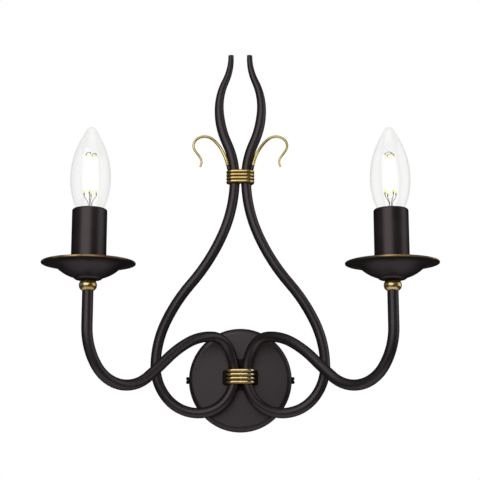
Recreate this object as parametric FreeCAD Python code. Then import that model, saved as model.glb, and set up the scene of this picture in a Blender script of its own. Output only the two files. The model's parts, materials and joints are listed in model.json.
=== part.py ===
"""Double arm wall sconce in forged style, as separate pieces.

Frame: millimetres, +Z up, the wall is the plane y = 0 and the sconce stands out of it towards -Y.
The origin is the centre of the wall rose on the wall. The right-hand side (+X) is modelled and the
left-hand side is its mirror image.

Each arm is one tube. Its back part lies in a plane parallel to the wall: tip, flame, teardrop and
under-loop. At the lower binding it turns into a second plane, swung forward about the upright line
through the binding, and goes over the loop top, through the low sweep and up into the stem.
"""
import FreeCAD, Part
import math
import os
from FreeCAD import Vector

# ---------------------------------------------------------------- driving dimensions (mm)
RUNNING_GAP = 0.05          # radial play of a screw or nipple in its hole
SEAT_GAP = 0.15             # play between curved pieces that are wound, welded or pushed together

ROSE_D = 100.0              # wall rose, a spun cup
ROSE_DEPTH = 22.0
ROSE_WALL = 1.2
ROSE_EDGE_R = 5.0           # rounding of its front edge, outside

TUBE_D = 10.0               # arm tube
TUBE_WALL = 1.0
HOLLOW_BANDS = 28           # short cylinders that draw the bore along the outer part of the arm
TIP_D = 5.4                 # forged tip of the arm
TAPER_LENGTH = 72.0
TAPER_BANDS = 18            # short cones that draw the tube down to the tip

KISS_GAP = 1.2              # daylight between the two arms where they are bound
LOWER_KISS_Z = 3.0
LOWER_BIND_Z = 2.0
UPPER_BIND_Z = 197.5
REACH_ANGLE = 39.0          # how far the outer part of an arm is swung forward

TIP_X = 9.4                 # back part of the arm: half widths, and heights
TIP_RISE = 127.7            # these two heights are counted from the upper binding
TIP_LEAN = 92.0             # heading of the tube as it leaves the tip
FLAME_X = 21.2
FLAME_RISE = 72.5
FLANK_X = 48.0
FLANK_Z = 92.2
FLANK_SLOPE = 49.5
TEAR_X = 81.4
TEAR_Z = 12.6
UNDER_X = 40.0
UNDER_Z = -32.4

LOOP_REACH = 26.0           # outer part of the arm: distance from the binding line, and height
LOOP_Z = 38.8
FALL_REACH = 79.6
FALL_Z = 14.9
FALL_SLOPE = 41.6
SWEEP_REACH = 124.6
SWEEP_Z = -10.6
STEM_REACH = 165.6
STEM_FOOT_Z = 39.0
STEM_TOP_Z = 70.5

WIRE_D = 3.2                # binding wire
WIRE_PITCH = 3.68
WIRE_TURNS = 4
LOWER_SLACK = 0.7           # room for the spread of the tubes inside a binding
UPPER_SLACK = 0.4

CURL_ROOT_D = 2.8           # brass curl rod
CURL_TIP_D = 2.0
CURL_BANDS = 24             # short cones that draw the rod down to its end
CURL_FORWARD = 4.5          # its rod lies this far in front of the middle of the tube
CURL_ROOT_RISE = 12.0       # half widths, and heights above the middle of the upper binding
CURL_LEAN = 80.0            # heading of the root
CURL_TOP_X = 35.8
CURL_TOP_RISE = 42.8
CURL_BACK_X = 47.2
CURL_BACK_RISE = 34.0
CURL_WAIST_X = 41.8
CURL_WAIST_RISE = 23.3
CURL_WAIST_SLOPE = 130.0
CURL_NECK_X = 38.3
CURL_NECK_RISE = 16.0
CURL_END_X = 39.6
CURL_END_RISE = 11.2
CURL_END_SLOPE = 68.0

HUB_WIDTH = 34.5            # block behind the lower binding
HUB_HEIGHT = 14.7
HUB_CORNER_R = 2.8
HUB_EDGE = 0.6
HUB_FLANGE = 2.0
HUB_DEPTH = 6.0             # from the rose's face to the backs of the tubes
HUB_HOLD = 2.6              # how far the hub's lands reach round the tubes
LOWER_LAND_WIDTH = 18.0
LOWER_LAND = 2.4
UPPER_LAND_WIDTH = 23.0
UPPER_LAND = 8.0
LAND_GAP = 0.3              # between a land and the binding
LEAD_HOLE_D = 5.2

HUB_SCREW_D = 4.0
HUB_SCREW_SPAN = 25.0
HUB_SCREW_HEAD_D = 7.0
HUB_SCREW_HEAD_H = 2.4
SCREW_SHORT = 0.2           # a screw stops this much short of the face it would break through

BAR_WIDTH = 16.0            # wall bracket, a bent steel crossbar
BAR_THICK = 1.6
EAR_DEPTH = 15.5
EAR_GAP = 1.0               # between an ear and the rose's wall
SLOT_SPACING = 54.0
SLOT_LENGTH = 14.0
SLOT_WIDTH = 4.5
TAB_WIDTH = 12.0            # tab below the bar that carries the terminal block
TAB_DROP = 18.0
SIDE_SCREW_D = 4.0
SIDE_SCREW_Y = 11.0
SIDE_SCREW_REACH = 5.0      # how far the screw goes in past the ear
SIDE_HOLE_PLAY = 0.2
SIDE_HEAD_D = 6.6
SIDE_HEAD_H = 2.8
DRIVER_SLOT_W = 0.9
DRIVER_SLOT_DEPTH = 1.0

EARTH_SCREW_D = 4.0
EARTH_SCREW_X = 14.0
EARTH_BOSS_D = 7.0
EARTH_BOSS_H = 3.0
EARTH_HEAD_D = 7.0
EARTH_HEAD_H = 2.4

BLOCK_HEIGHT = 13.0         # terminal block, one way for each lamp lead and its mains core
BLOCK_DEPTH = 12.0
BLOCK_TOP_Z = -12.0
BLOCK_BORE_D = 4.4
BLOCK_END = 2.0             # material beyond the ways
BLOCK_SCREW_D = 3.0         # its fixing screw, in the middle
BLOCK_SCREW_HEAD_D = 5.5
BLOCK_SCREW_HEAD_H = 2.0
BLOCK_SCREW_SINK = 1.0
CLAMP_SCREW_D = 2.6
CLAMP_SCREW_SINK = 1.0
CLAMP_SPACING = 6.0

BEAD_D = 16.2               # brass bead under the pan
BEAD_HEIGHT = 9.5
BEAD_FLAT_D = 10.6
BEAD_BANDS = 9              # bands that draw its round side

PAN_D = 83.6                # drip pan
PAN_WALL = 1.0
PAN_FLOOR_D = 20.0          # underside, from the flat foot outwards: diameters and heights
PAN_FOOT_D = 25.8
PAN_FOOT_H = 1.9
PAN_BOWL_SLOPE = 15.0       # where the bowl springs from the foot
PAN_BOWL_D = 55.0
PAN_BOWL_H = 10.0
PAN_BRIM_D = 68.0
PAN_BRIM_H = 13.4
PAN_RIM_H = 14.4
PAN_EDGE_D = 1.8            # rolled edge of the brim, drawn with this many sides
PAN_EDGE_SIDES = 8

NIPPLE_D = 8.0
NIPPLE_BORE_D = 5.5
NIPPLE_GRIP = 12.0          # length held in the tube
NIPPLE_PROUD = 1.0          # thread left showing above the nut
NUT_AF = 13.0
NUT_HEIGHT = 4.0

STRAP_THICK = 1.0           # lampholder bracket, a closed stirrup of strip
STRAP_WIDTH = 9.0
STRAP_SPAN = 18.0
STRAP_HEIGHT = 19.25

HOLDER_D = 24.0             # moulded lampholder
HOLDER_HEIGHT = 30.0
HOLDER_FLOOR = 6.0
HOLDER_SPIGOT_D = 9.0
HOLDER_SPIGOT_H = 3.0
HOLDER_BORE_D = 5.0         # way in for the lead
HOLDER_COLLAR_D = 28.0      # collar that keeps the sleeve upright
HOLDER_COLLAR_H = 3.0
SHELL_WALL = 0.4
SHELL_HEIGHT = 20.0
SPRING_WIDTH = 4.0          # centre contact, a bent spring strip
SPRING_THICK = 0.4
SPRING_RISE = 2.25
SPRING_LENGTH = 10.0

SLEEVE_D = 31.2             # candle sleeve
SLEEVE_WALL = 1.4
SLEEVE_EDGE_R = 2.0         # its top edge is turned in
SLEEVE_TOP = 63.8           # its top above the pan's underside

CAP_D = 13.8                # bulb cap, small screw size
CAP_HEIGHT = 18.4
CAP_COLLAR_D = 16.4
CAP_COLLAR_H = 5.6
CAP_FLARE_H = 2.0
CAP_WALL = 0.5
CAP_PLAY = 0.3              # between the cap's thread and the lampholder's shell
CONTACT_GAP = 0.3           # between the bulb's contact and the holder's spring
INSULATOR_D = 9.0           # glass insulator at the cap's foot
INSULATOR_H = 2.2
TIP_CONTACT_D = 4.8
TIP_CONTACT_H = 1.0

GLASS_WALL = 0.8            # bulb glass: diameters, heights above the cap
GLASS_NECK_D = 15.8
GLASS_NECK_SLOPE = 57.0
GLASS_THROAT_D = 26.7
GLASS_THROAT_H = 10.4
GLASS_D = 36.1
GLASS_WIDEST_H = 31.3
GLASS_FLANK_D = 17.8
GLASS_FLANK_H = 71.3
GLASS_CROWN_D = 7.6
GLASS_CROWN_H = 81.0
GLASS_HEIGHT = 83.1
GLASS_BANDS = 4             # bands to each arc of its outline

MOUNT_D = 6.0               # glass mount inside the bulb
MOUNT_FLARE_D = 13.6
MOUNT_HEIGHT = 17.0
MOUNT_WIRE_R = 2.0          # circle on which the wires leave the mount
FILAMENT_D = 1.8
FILAMENT_COUNT = 4
FILAMENT_LIFT = 22.1        # lower ends above the start of the glass
FILAMENT_RISE = 35.1
FILAMENT_FOOT_R = 4.6       # circle of the lower ends
FILAMENT_HEAD_R = 2.9
SUPPORT_D = 0.7

LEAD_WIDTH = 3.4            # flat two-core lamp lead
LEAD_THICK = 1.7
LEAD_BEND_R = 5.0
LEAD_SHORT = 2.0            # it ends this much below the holder's cavity
LEAD_GRIP = 9.0             # length held in the terminal block

# ---------------------------------------------------------------- derived places
UP = Vector(0, 0, 1)
OUT_OF_WALL = Vector(0, -1, 0)
TUBE_R = TUBE_D / 2
KISS_X = TUBE_R + KISS_GAP / 2
ROSE_FACE_Y = -ROSE_DEPTH
ARM_Y = ROSE_FACE_Y - HUB_DEPTH - TUBE_R
REACH = Vector(math.cos(math.radians(REACH_ANGLE)), -math.sin(math.radians(REACH_ANGLE)), 0)
STEM_X = KISS_X + STEM_REACH * REACH.x
STEM_Y = ARM_Y + STEM_REACH * REACH.y

WIND_HALF = (WIRE_TURNS * WIRE_PITCH + WIRE_D) / 2
LOWER_LAND_TOP = LOWER_BIND_Z - WIND_HALF - LAND_GAP
UPPER_LAND_FOOT = LOWER_BIND_Z + WIND_HALF + LAND_GAP
LEAD_Z = UPPER_LAND_FOOT + UPPER_LAND / 2
FLANGE_Y = ROSE_FACE_Y - HUB_FLANGE

EAR_X = ROSE_D / 2 - ROSE_WALL - EAR_GAP
BAR_FACE_Y = -BAR_THICK
BLOCK_Y = BAR_FACE_Y - BLOCK_DEPTH / 2
BLOCK_FRONT_Y = BAR_FACE_Y - BLOCK_DEPTH
BLOCK_SEAT_Y = BLOCK_FRONT_Y + BLOCK_SCREW_SINK + BLOCK_SCREW_HEAD_H
BLOCK_MIDDLE_Z = BLOCK_TOP_Z - BLOCK_HEIGHT / 2

PAN_Z = STEM_TOP_Z + BEAD_HEIGHT
PAN_FLOOR_Z = PAN_Z + PAN_WALL
STRAP_TOP_Z = PAN_FLOOR_Z + STRAP_HEIGHT
SHELL_Z = STRAP_TOP_Z + HOLDER_FLOOR
SHELL_BORE_R = CAP_D / 2 + CAP_PLAY
CAP_Z = SHELL_Z + SPRING_THICK + SPRING_RISE + CONTACT_GAP + TIP_CONTACT_H + INSULATOR_H
GLASS_Z = CAP_Z + CAP_HEIGHT + CAP_COLLAR_H


# ---------------------------------------------------------------- drawing helpers
def turned(angle):
    """Unit vector in a flat drawing, angle in degrees from the first axis."""
    return math.cos(math.radians(angle)), math.sin(math.radians(angle))


def arc_edge(start, corner, end):
    """The arc that leaves start towards corner and arrives at end from it, or a line if they are in line."""
    middle = (start + end) * 0.5
    rise = corner - middle
    half = (end - start).Length / 2
    if rise.Length < 1e-5 * half:
        return Part.LineSegment(start, end).toShape()
    lean = math.atan2(rise.Length, half)
    top = middle + rise.normalize() * half * math.tan(lean / 2)
    return Part.Arc(start, top, end).toShape()


def biarc(p0, t0, p1, t1):
    """Two arcs with a common tangent that join p0 heading t0 to p1 heading t1."""
    span = p1 - p0
    both = t0 + t1
    bend = 2 * (1 - t0.dot(t1))
    if bend < 1e-9:
        leg = span.dot(span) / (4 * span.dot(t1))
    else:
        leg = (math.sqrt(span.dot(both) ** 2 + bend * span.dot(span)) - span.dot(both)) / bend
    c0 = p0 + t0 * leg
    c1 = p1 - t1 * leg
    joint = (c0 + c1) * 0.5
    return [arc_edge(p0, c0, joint), arc_edge(joint, c1, p1)]


def route(stations, place):
    """Edges of a smooth path through stations (along, height, heading), put in space by place()."""
    def located(station):
        along, height, heading = station
        run, rise = turned(heading)
        here = place(along, height)
        return here, (place(along + run, height + rise) - here).normalize()

    edges = []
    for first, second in zip(stations, stations[1:]):
        edges += biarc(*located(first), *located(second))
    return edges


def flat(radius, height):
    return Vector(radius, 0, height)


def lines(points):
    """Straight edges through points of the XZ plane."""
    places = [flat(*p) for p in points]
    return [Part.LineSegment(a, b).toShape() for a, b in zip(places, places[1:])]


def chords(edges, count):
    """Points (radius, height) along a chain of arcs of the XZ plane, count steps to each arc."""
    points = []
    for edge in edges:
        points += [(at.x, at.z) for at in edge.discretize(count + 1)][bool(points):]
    return points


def disc(centre, normal, radius):
    return Part.Wire([Part.Circle(centre, normal, radius).toShape()])


def level_disc(centre, normal, radius, side):
    """Disc whose seam lies towards side, so that a row of them can be joined without a twist."""
    circle = Part.Circle(centre, normal, radius)
    circle.XAxis = side
    return Part.Wire([circle.toShape()])


def start_of(edge):
    return edge.valueAt(edge.FirstParameter), edge.tangentAt(edge.FirstParameter)


def places_along(edges, count):
    """Point, tangent and share of the length at count + 1 even steps along a path."""
    total = sum(e.Length for e in edges)
    found = []
    for step in range(count + 1):
        left = total * step / count
        for edge in edges:
            if left <= edge.Length or edge is edges[-1]:
                break
            left -= edge.Length
        at = edge.getParameterByLength(min(left, edge.Length))
        found.append((edge.valueAt(at), edge.tangentAt(at), step / count))
    return found


def crossing(edge, reached):
    """Parameter at which a path edge first comes to satisfy reached(point)."""
    low, high = edge.FirstParameter, edge.LastParameter
    for _ in range(40):
        middle = (low + high) / 2
        if reached(edge.valueAt(middle)):
            high = middle
        else:
            low = middle
    return high


# ---------------------------------------------------------------- solid helpers
def rod(edges, radius):
    """Round bar along a path."""
    return Part.Wire(edges).makePipeShell([disc(*start_of(edges[0]), radius)], True, False)


def banded_rod(edges, side, bands, radius_at):
    """Round bar along a flat path as a row of short cones. side is square to the path's plane."""
    return Part.makeLoft([level_disc(point, tangent, radius_at(share), side)
                          for point, tangent, share in places_along(edges, bands)], True, True)


def tapered_rod(edges, first_radius, last_radius, taper_length, bands):
    """Round bar along a path parallel to the wall, its radius changing evenly over the taper length."""
    length = sum(edge.Length for edge in edges)

    def radius_at(share):
        grown = min(1.0, share * length / taper_length)
        return first_radius + (last_radius - first_radius) * grown

    return banded_rod(edges, OUT_OF_WALL, bands, radius_at)


def cylinder(radius, height, x, y, z):
    return Part.makeCylinder(radius, height, Vector(x, y, z), UP)


def plug(radius, x, z, wall_y, front_y):
    """Cylinder square to the wall, from wall_y out to front_y."""
    return Part.makeCylinder(radius, wall_y - front_y, Vector(x, wall_y, z), OUT_OF_WALL)


def block(x0, x1, y0, y1, z0, z1):
    return Part.makeBox(x1 - x0, y1 - y0, z1 - z0, Vector(x0, y0, z0))


def spun(edges, x=0.0, y=0.0, z=0.0):
    """Solid of revolution about the upright line at x, y, from edges drawn in the XZ plane."""
    solid = Part.Face(Part.Wire(Part.sortEdges(edges)[0])).revolve(Vector(0, 0, 0), UP, 360)
    solid.translate(Vector(x, y, z))
    return solid


def ring(outer_r, inner_r, height, x, y, z):
    return cylinder(outer_r, height, x, y, z).cut(cylinder(inner_r, height, x, y, z))


def mirrored(shape):
    return shape.mirror(Vector(0, 0, 0), Vector(1, 0, 0))


def pair(shape):
    return Part.makeCompound([shape, mirrored(shape)])


# ---------------------------------------------------------------- arms
def back_plane(along, height):
    return Vector(along, ARM_Y, height)


def reach_plane(along, height):
    return Vector(KISS_X, ARM_Y, height) + REACH * along


def back_route():
    """From the forged tip down to the lower binding."""
    return route([(TIP_X, UPPER_BIND_Z + TIP_RISE, -TIP_LEAN),
                  (FLAME_X, UPPER_BIND_Z + FLAME_RISE, -90),
                  (KISS_X, UPPER_BIND_Z, -90),
                  (FLANK_X, FLANK_Z, -FLANK_SLOPE),
                  (TEAR_X, TEAR_Z, -90),
                  (UNDER_X, UNDER_Z, -180),
                  (KISS_X, LOWER_KISS_Z, -270)], back_plane)


def reach_route():
    """From the lower binding out to the top of the stem."""
    return route([(0, LOWER_KISS_Z, 90),
                  (LOOP_REACH, LOOP_Z, 0),
                  (FALL_REACH, FALL_Z, -FALL_SLOPE),
                  (SWEEP_REACH, SWEEP_Z, 0),
                  (STEM_REACH, STEM_FOOT_Z, 90)], reach_plane)


def stem_edge():
    return Part.LineSegment(reach_plane(STEM_REACH, STEM_FOOT_Z),
                            reach_plane(STEM_REACH, STEM_TOP_Z)).toShape()


BACK = back_route()
OUTWARD = reach_route()
TAPER_ARC_COUNT = 3         # from the tip past the flame, into the neck below it
LEAD_AT = OUTWARD[0].valueAt(crossing(OUTWARD[0], lambda at: at.z >= LEAD_Z))


def make_arm():
    """Right arm: one tube, drawn down to a blunt tip, with the lead's way in and out."""
    drawn = tapered_rod(BACK[:TAPER_ARC_COUNT], TIP_D / 2, TUBE_R, TAPER_LENGTH, TAPER_BANDS)
    outside = rod(BACK[TAPER_ARC_COUNT:] + OUTWARD + [stem_edge()], TUBE_R)
    inside = banded_rod(OUTWARD + [stem_edge()], REACH.cross(UP), HOLLOW_BANDS,
                        lambda share: TUBE_R - TUBE_WALL)
    tapped = cylinder(NIPPLE_D / 2 + RUNNING_GAP, NIPPLE_GRIP, STEM_X, STEM_Y, STEM_TOP_Z - NIPPLE_GRIP)
    outlet = plug(LEAD_HOLE_D / 2, LEAD_AT.x, LEAD_Z, ROSE_FACE_Y, LEAD_AT.y)
    return drawn.fuse(outside).cut(inside).cut(tapped).cut(outlet)


def arms_near_hub(radius):
    """Both tubes just round the lower binding, at the given radius."""
    near = BACK[-2:] + OUTWARD[:2]
    right = rod(near, radius)
    return right.fuse(mirrored(right))


# ---------------------------------------------------------------- bindings
def winding_places(middle_z, half_span, end_radius):
    """Quarter points of the wire: point and unit tangent, climbing evenly round both tubes.

    It starts and ends behind the right-hand tube.
    """
    lap = 4 * half_span + 2 * math.pi * end_radius
    climb = WIRE_PITCH / lap
    level = math.sqrt(1 + climb * climb)
    quarter = math.pi * end_radius / 2
    corners = [(half_span, end_radius, 1, 0, quarter),
               (half_span + end_radius, 0, 0, -1, quarter),
               (half_span, -end_radius, -1, 0, 2 * half_span),
               (-half_span, -end_radius, -1, 0, quarter),
               (-half_span - end_radius, 0, 0, 1, quarter),
               (-half_span, end_radius, 1, 0, 2 * half_span)]
    found = []
    run = half_span
    for x, y, along_x, along_y, step in corners * WIRE_TURNS + corners[:1]:
        z = middle_z + (run / lap - WIRE_TURNS / 2) * WIRE_PITCH
        found.append((Vector(x, ARM_Y + y, z), Vector(along_x / level, along_y / level, climb / level)))
        run += step
    return found


def make_binding(name, middle_z, slack):
    """One unbroken wire wound round both tubes, its ends meeting it behind them."""
    half_span = KISS_X + slack
    end_radius = TUBE_R + SEAT_GAP + slack / 2 + WIRE_D / 2
    places = winding_places(middle_z, half_span, end_radius)
    edges = []
    for (p0, t0), (p1, t1) in zip(places, places[1:]):
        edges += biarc(p0, t0, p1, t1)
    print(name, "least gap of the wire to itself", round(own_gap(edges), 3))
    return rod(edges, WIRE_D / 2)


def own_gap(edges):
    """Least daylight between turns, from points along the wire."""
    per_turn = 90
    count = per_turn * WIRE_TURNS
    spots = [place for place, _, _ in places_along(edges, count)]
    return min((spots[i] - spots[j]).Length
               for i in range(count) for j in range(i + per_turn // 2, count + 1)) - WIRE_D


# ---------------------------------------------------------------- curls
def curl_plane(along, height):
    return Vector(along, ARM_Y - CURL_FORWARD, UPPER_BIND_Z + height)


def make_curl():
    """Right brass curl: rises beside the tube, hooks outwards and ends in a small hanging tail."""
    root_z = UPPER_BIND_Z + CURL_ROOT_RISE
    tube_x = BACK[3].valueAt(crossing(BACK[3], lambda at: at.z <= root_z)).x
    apart = TUBE_R + SEAT_GAP + CURL_ROOT_D / 2
    root_x = tube_x + math.sqrt(apart ** 2 - CURL_FORWARD ** 2)
    edges = route([(root_x, CURL_ROOT_RISE, CURL_LEAN),
                   (CURL_TOP_X, CURL_TOP_RISE, 0),
                   (CURL_BACK_X, CURL_BACK_RISE, -90),
                   (CURL_WAIST_X, CURL_WAIST_RISE, -CURL_WAIST_SLOPE),
                   (CURL_NECK_X, CURL_NECK_RISE, -90),
                   (CURL_END_X, CURL_END_RISE, -CURL_END_SLOPE)], curl_plane)
    length = sum(edge.Length for edge in edges)
    return tapered_rod(edges, CURL_ROOT_D / 2, CURL_TIP_D / 2, length, CURL_BANDS)


# ---------------------------------------------------------------- wall side
def make_rose():
    """Spun cup, its open side against the wall."""
    outer, inner = ROSE_D / 2, ROSE_D / 2 - ROSE_WALL
    face, shoulder = ROSE_DEPTH, ROSE_DEPTH - ROSE_EDGE_R
    flat_r, floor = outer - ROSE_EDGE_R, ROSE_DEPTH - ROSE_WALL
    profile = (lines([(inner, 0), (outer, 0), (outer, shoulder)])
               + [arc_edge(flat(outer, shoulder), flat(outer, face), flat(flat_r, face))]
               + lines([(flat_r, face), (0, face), (0, floor), (flat_r, floor)])
               + lines([(flat_r, floor), (inner, shoulder), (inner, 0)]))
    rose = spun(profile)
    rose.rotate(Vector(0, 0, 0), Vector(1, 0, 0), 90)
    inside_y = ROSE_FACE_Y + ROSE_WALL
    holes = [plug(LEAD_HOLE_D / 2, LEAD_AT.x, LEAD_Z, inside_y, ROSE_FACE_Y),
             plug(HUB_SCREW_D / 2 + RUNNING_GAP, HUB_SCREW_SPAN / 2, LOWER_BIND_Z, inside_y, ROSE_FACE_Y),
             side_plug(SIDE_SCREW_D / 2 + SIDE_HOLE_PLAY, EAR_X, outer)]
    return rose.cut([side for hole in holes for side in (hole, mirrored(hole))])


def side_plug(radius, inner_x, outer_x):
    """Cylinder along X at the place of the rose's side screw."""
    return Part.makeCylinder(radius, outer_x - inner_x, Vector(inner_x, -SIDE_SCREW_Y, 0), Vector(1, 0, 0))


def make_bracket():
    """Bent steel crossbar: wall slots, ears for the side screws, earth boss, tab for the terminal block."""
    half, inner_x = BAR_WIDTH / 2, EAR_X - BAR_THICK
    bar = block(-EAR_X, EAR_X, BAR_FACE_Y, 0, -half, half)
    ear = block(inner_x, EAR_X, -EAR_DEPTH, 0, -half, half)
    tab = block(-TAB_WIDTH / 2, TAB_WIDTH / 2, BAR_FACE_Y, 0, -half - TAB_DROP, -half)
    boss = plug(EARTH_BOSS_D / 2, EARTH_SCREW_X, 0, BAR_FACE_Y, BAR_FACE_Y - EARTH_BOSS_H)
    bar = bar.fuse([ear, mirrored(ear), tab, boss])
    cuts = []
    flat_half = (SLOT_LENGTH - SLOT_WIDTH) / 2
    for middle in (-SLOT_SPACING / 2, SLOT_SPACING / 2):
        cuts.append(block(middle - flat_half, middle + flat_half, BAR_FACE_Y, 0,
                          -SLOT_WIDTH / 2, SLOT_WIDTH / 2))
        for x in (middle - flat_half, middle + flat_half):
            cuts.append(plug(SLOT_WIDTH / 2, x, 0, 0, BAR_FACE_Y))
    tapped = side_plug(SIDE_SCREW_D / 2 + RUNNING_GAP, inner_x, EAR_X)
    cuts += [tapped, mirrored(tapped),
             plug(EARTH_SCREW_D / 2 + RUNNING_GAP, EARTH_SCREW_X, 0, 0, BAR_FACE_Y - EARTH_BOSS_H),
             plug(BLOCK_SCREW_D / 2 + RUNNING_GAP, 0, BLOCK_MIDDLE_Z, 0, BAR_FACE_Y)]
    return bar.cut(cuts).removeSplitter()


def make_side_screws():
    """Two screws that hold the rose to the bracket's ears."""
    seat = ROSE_D / 2
    screw = side_plug(SIDE_SCREW_D / 2, EAR_X - BAR_THICK - SIDE_SCREW_REACH, seat)
    head = side_plug(SIDE_HEAD_D / 2, seat, seat + SIDE_HEAD_H)
    top = seat + SIDE_HEAD_H
    groove = block(top - DRIVER_SLOT_DEPTH, top, -SIDE_SCREW_Y - SIDE_HEAD_D, -SIDE_SCREW_Y + SIDE_HEAD_D,
                   -DRIVER_SLOT_W / 2, DRIVER_SLOT_W / 2)
    return pair(screw.fuse(head).cut(groove))


def wall_screw(diameter, head_d, head_h, x, z, tip_y, seat_y, towards_wall):
    """Screw square to the wall. Its head sits on seat_y; towards_wall tells on which side of the seat."""
    shank = plug(diameter / 2, x, z, max(tip_y, seat_y), min(tip_y, seat_y))
    if towards_wall:
        head = plug(head_d / 2, x, z, seat_y + head_h, seat_y)
        groove_y = seat_y + head_h - DRIVER_SLOT_DEPTH
    else:
        head = plug(head_d / 2, x, z, seat_y, seat_y - head_h)
        groove_y = seat_y - head_h
    groove = block(x - head_d, x + head_d, groove_y, groove_y + DRIVER_SLOT_DEPTH,
                   z - DRIVER_SLOT_W / 2, z + DRIVER_SLOT_W / 2)
    return shank.fuse(head).cut(groove)


def make_hub():
    """Block that carries both arms: flange on the rose, and two lands that reach round the tubes."""
    half = HUB_WIDTH / 2
    flange = block(-half, half, FLANGE_Y, ROSE_FACE_Y,
                   LOWER_BIND_Z - HUB_HEIGHT / 2, LOWER_BIND_Z + HUB_HEIGHT / 2)
    corners = [e for e in flange.Edges if abs(e.Vertexes[0].Y - e.Vertexes[1].Y) > HUB_FLANGE / 2]
    flange = flange.makeFillet(HUB_CORNER_R, corners)
    front = [e for e in flange.Edges if max(abs(v.Y - FLANGE_Y) for v in e.Vertexes) < RUNNING_GAP]
    flange = flange.makeChamfer(HUB_EDGE, front)
    reach_y = ARM_Y + TUBE_R - HUB_HOLD
    lower = LOWER_LAND_WIDTH / 2
    upper = UPPER_LAND_WIDTH / 2
    foot, head = LOWER_LAND_TOP - LOWER_LAND, UPPER_LAND_FOOT + UPPER_LAND
    hub = flange.fuse([block(-lower, lower, FLANGE_Y, ROSE_FACE_Y, foot, head),
                       block(-lower, lower, reach_y, ROSE_FACE_Y, foot, LOWER_LAND_TOP),
                       block(-upper, upper, reach_y, ROSE_FACE_Y, UPPER_LAND_FOOT, head)])
    lead = plug(LEAD_HOLE_D / 2, LEAD_AT.x, LEAD_Z, ROSE_FACE_Y, LEAD_AT.y)
    thread = plug(HUB_SCREW_D / 2 + RUNNING_GAP, HUB_SCREW_SPAN / 2, LOWER_BIND_Z, ROSE_FACE_Y, FLANGE_Y)
    return hub.cut([arms_near_hub(TUBE_R + SEAT_GAP), lead, mirrored(lead), thread, mirrored(thread)])


def make_hub_screws():
    return pair(wall_screw(HUB_SCREW_D, HUB_SCREW_HEAD_D, HUB_SCREW_HEAD_H, HUB_SCREW_SPAN / 2, LOWER_BIND_Z,
                           FLANGE_Y + SCREW_SHORT, ROSE_FACE_Y + ROSE_WALL, True))


def make_earth_screw():
    return wall_screw(EARTH_SCREW_D, EARTH_HEAD_D, EARTH_HEAD_H, EARTH_SCREW_X, 0,
                      -SCREW_SHORT, BAR_FACE_Y - EARTH_BOSS_H, False)


def clamp_screws(radius, front_y, tip_y):
    """The four clamp screws of the terminal block, or their holes."""
    return [plug(radius, x, BLOCK_MIDDLE_Z + z, tip_y, front_y)
            for x in (-LEAD_AT.x, LEAD_AT.x) for z in (-CLAMP_SPACING / 2, CLAMP_SPACING / 2)]


def make_terminal_block():
    half = LEAD_AT.x + BLOCK_BORE_D / 2 + BLOCK_END
    body = block(-half, half, BLOCK_FRONT_Y, BAR_FACE_Y, BLOCK_TOP_Z - BLOCK_HEIGHT, BLOCK_TOP_Z)
    ways = [cylinder(BLOCK_BORE_D / 2, BLOCK_HEIGHT, x, BLOCK_Y, BLOCK_TOP_Z - BLOCK_HEIGHT)
            for x in (-LEAD_AT.x, LEAD_AT.x)]
    fixing = [plug(BLOCK_SCREW_D / 2 + RUNNING_GAP, 0, BLOCK_MIDDLE_Z, BAR_FACE_Y, BLOCK_FRONT_Y),
              plug(BLOCK_SCREW_HEAD_D / 2 + RUNNING_GAP, 0, BLOCK_MIDDLE_Z, BLOCK_SEAT_Y, BLOCK_FRONT_Y)]
    return body.cut(ways + fixing + clamp_screws(CLAMP_SCREW_D / 2 + RUNNING_GAP, BLOCK_FRONT_Y, BLOCK_Y))


def make_terminal_screw():
    return wall_screw(BLOCK_SCREW_D, BLOCK_SCREW_HEAD_D, BLOCK_SCREW_HEAD_H, 0, BLOCK_MIDDLE_Z,
                      -SCREW_SHORT, BLOCK_SEAT_Y, False)


def make_clamp_screws():
    """Screws of the terminal block, tightened on the leads."""
    lead_face_y = BLOCK_Y - LEAD_THICK / 2 - RUNNING_GAP
    return Part.makeCompound(clamp_screws(CLAMP_SCREW_D / 2, BLOCK_FRONT_Y + CLAMP_SCREW_SINK, lead_face_y))


def make_lead():
    """Right lamp lead, flat and two-core: terminal block, rose, hub, through the tube to the lampholder."""
    x, r = LEAD_AT.x, LEAD_BEND_R
    foot = Vector(x, BLOCK_Y, BLOCK_TOP_Z - LEAD_GRIP)
    bend_in = Vector(x, BLOCK_Y, LEAD_Z - r)
    bend_out = Vector(x, BLOCK_Y - r, LEAD_Z)
    enter = Vector(x, LEAD_AT.y + r, LEAD_Z)
    first = OUTWARD[0]
    joins = crossing(first, lambda at: at.z >= LEAD_Z + r)
    path = [Part.LineSegment(foot, bend_in).toShape(),
            arc_edge(bend_in, Vector(x, BLOCK_Y, LEAD_Z), bend_out),
            Part.LineSegment(bend_out, enter).toShape()]
    path += biarc(enter, OUT_OF_WALL, first.valueAt(joins), first.tangentAt(joins))
    path.append(Part.Edge(first.Curve, joins, first.LastParameter))
    path += OUTWARD[1:]
    path.append(Part.LineSegment(reach_plane(STEM_REACH, STEM_FOOT_Z),
                                 reach_plane(STEM_REACH, SHELL_Z - LEAD_SHORT)).toShape())
    half_w, half_t = LEAD_WIDTH / 2, LEAD_THICK / 2
    section = Part.makePolygon([foot + Vector(a * half_w, b * half_t, 0)
                                for a, b in ((-1, -1), (1, -1), (1, 1), (-1, 1), (-1, -1))])
    return Part.Wire(path).makePipeShell([section], True, False)


# ---------------------------------------------------------------- stem top
def on_stem(solid):
    """Move a piece drawn about the upright axis to the right stem."""
    solid.translate(Vector(STEM_X, STEM_Y, 0))
    return solid


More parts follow.
